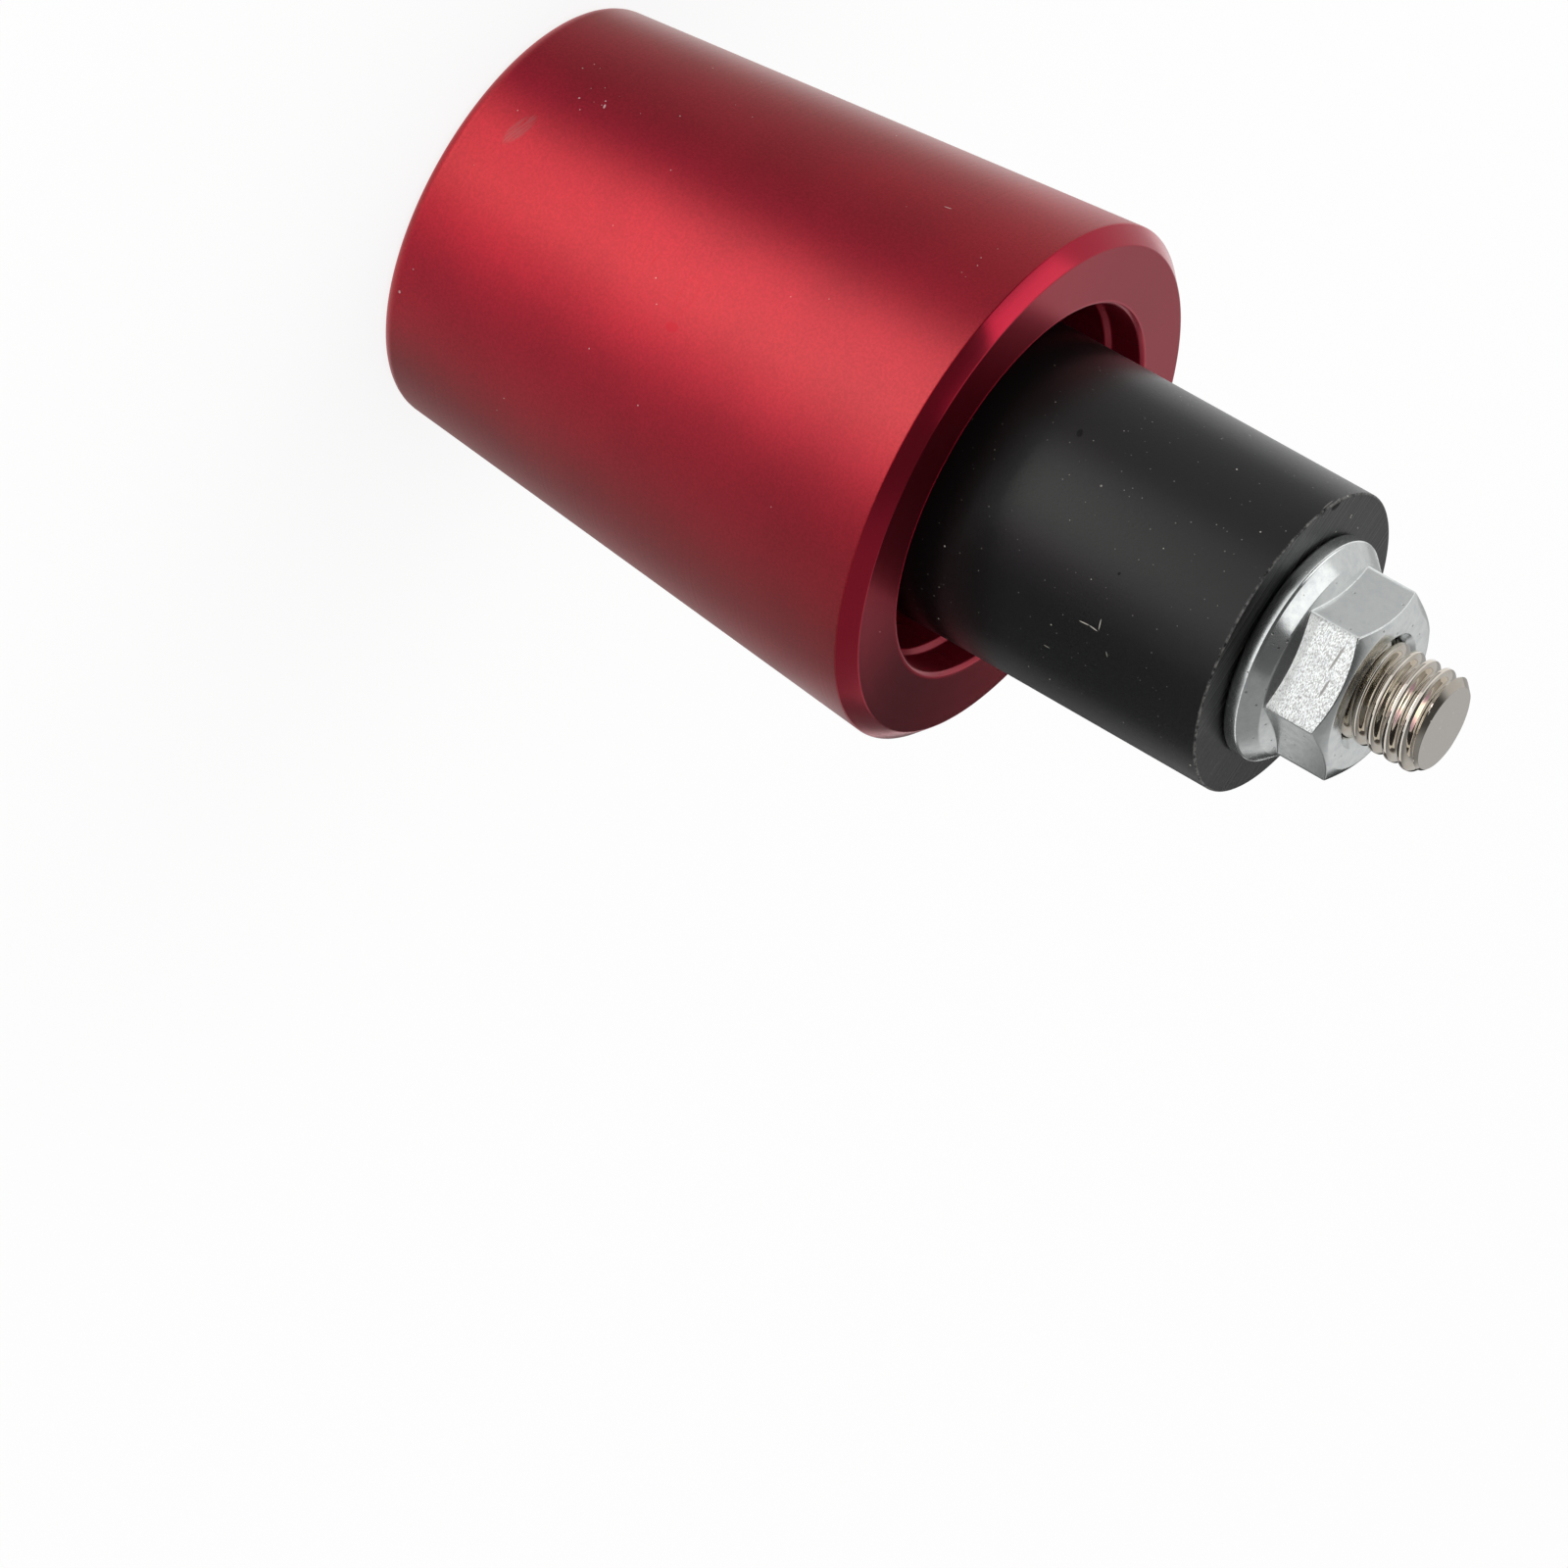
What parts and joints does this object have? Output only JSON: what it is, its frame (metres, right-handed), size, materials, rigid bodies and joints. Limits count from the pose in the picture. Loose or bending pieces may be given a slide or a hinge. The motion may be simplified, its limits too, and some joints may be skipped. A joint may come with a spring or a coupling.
{
  "type": "bar end weight",
  "caption": "Tapered turned weight for a handlebar's end, with a rubber sleeve that a through screw and flange nut squeeze to grip inside the bar.",
  "frame": {"origin": "centre of the outer face, which the weight stands on", "axes": "+Z along the screw, from the outer face into the handlebar; X and Y across it, with two of the nut's corners on X"},
  "size_m": [0.032, 0.032, 0.0635],
  "materials": {
    "red_anodised": "satin red anodised, with turning lines",
    "nickel_plate": "bright nickel plated steel",
    "black_rubber": "satin, cut square at the ends",
    "zinc_plate": "bright zinc plated steel"
  },
  "bodies": {
    "weight": {"end_weight": "red_anodised", "expander_sleeve": "black_rubber"},
    "screw": {"clamp_screw": "nickel_plate"},
    "nut": {"flange_nut": "zinc_plate"}
  },
  "joints": [
    {"name": "screw_turn", "type": "hinge", "parent": "weight", "child": "screw", "pos_m": [0, 0, 0.0086], "axis": [0, 0, 1], "range_deg": [0, 1440]},
    {"name": "nut_travel", "type": "slide", "parent": "weight", "child": "nut", "axis": [0, 0, -1], "range_m": [0, 0.004], "deforming": ["expander_sleeve"]}
  ],
  "couplings": [
    {"joint": "nut_travel", "follows": "screw_turn", "m_per_rad": 0.00015915}
  ]
}
